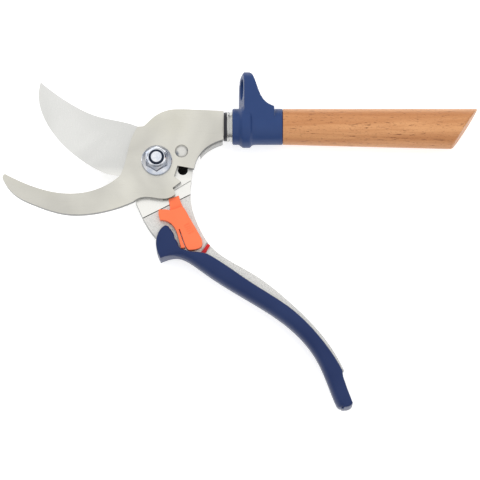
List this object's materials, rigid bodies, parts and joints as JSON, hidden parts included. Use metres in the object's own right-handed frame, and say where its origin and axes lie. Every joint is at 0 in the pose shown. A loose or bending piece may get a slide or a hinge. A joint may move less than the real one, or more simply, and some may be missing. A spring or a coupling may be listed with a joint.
{
  "type": "bypass pruning shears",
  "caption": "Bypass pruning shears with a beech upper handle, a nylon-gripped aluminium lower handle, a sprung pivot and a sliding safety latch.",
  "frame": {"origin": "centre of the pivot bolt's flat head, on the plane that the shears rest on, in the open pose", "axes": "+X along the beech handle away from the pivot, +Z along the pivot bolt towards its nut, +Y completes the right-handed frame and points to the hanging eye"},
  "size_m": [0.22, 0.158, 0.0214],
  "materials": {
    "hook_steel": "satin stainless",
    "blade_steel": "satin stainless",
    "rivet_steel": "polished dome",
    "collar_steel": "turned",
    "zinc_steel": "bright zinc plating",
    "screw_steel": "plain",
    "spring_steel": "oiled",
    "bronze": "sintered",
    "bracket_aluminium": "sand cast",
    "cast_aluminium": "fine sand cast",
    "blue_nylon": "fine moulded texture",
    "blue_grip": "fine moulded texture",
    "orange_nylon": "satin moulded",
    "red_mark": "paint",
    "black_seal": "satin moulded",
    "black_rubber": "matt",
    "ring_nylon": "dyed nylon",
    "beech": "varnished beech"
  },
  "bodies": {
    "upper_lever": {"counter_blade": "hook_steel", "upper_bracket": "bracket_aluminium", "bracket_screws": "screw_steel", "stop_rivet": "rivet_steel", "neck_seal": "black_seal", "neck_collar": "collar_steel", "bolster": "blue_nylon", "beech_handle": "beech", "tang_pins": "screw_steel", "pivot_bolt": "zinc_steel", "pivot_washer": "zinc_steel", "pivot_bush": "bronze", "pivot_nut": "zinc_steel", "nut_ring": "ring_nylon", "return_spring": "spring_steel"},
    "lower_lever": {"cutting_blade": "blade_steel", "stop_cushion": "black_rubber", "lower_handle": "cast_aluminium", "lock_mark": "red_mark", "blade_screws": "screw_steel", "lower_grip": "blue_grip", "grip_screws": "screw_steel"},
    "latch": {"safety_latch": "orange_nylon", "latch_slider": "orange_nylon", "latch_screw": "screw_steel"}
  },
  "joints": [
    {"name": "handle_pivot", "type": "hinge", "parent": "upper_lever", "child": "lower_lever", "pos_m": [0, 0, 0], "axis": [0, 0, 1], "range_deg": [0, 41], "stiffness_Nm_per_rad": 0.6, "springref_deg": -28.65},
    {"name": "latch_slide", "type": "slide", "parent": "lower_lever", "child": "latch", "axis": [-0.4801, 0.8772, 0], "range_m": [0, 0.005]}
  ]
}
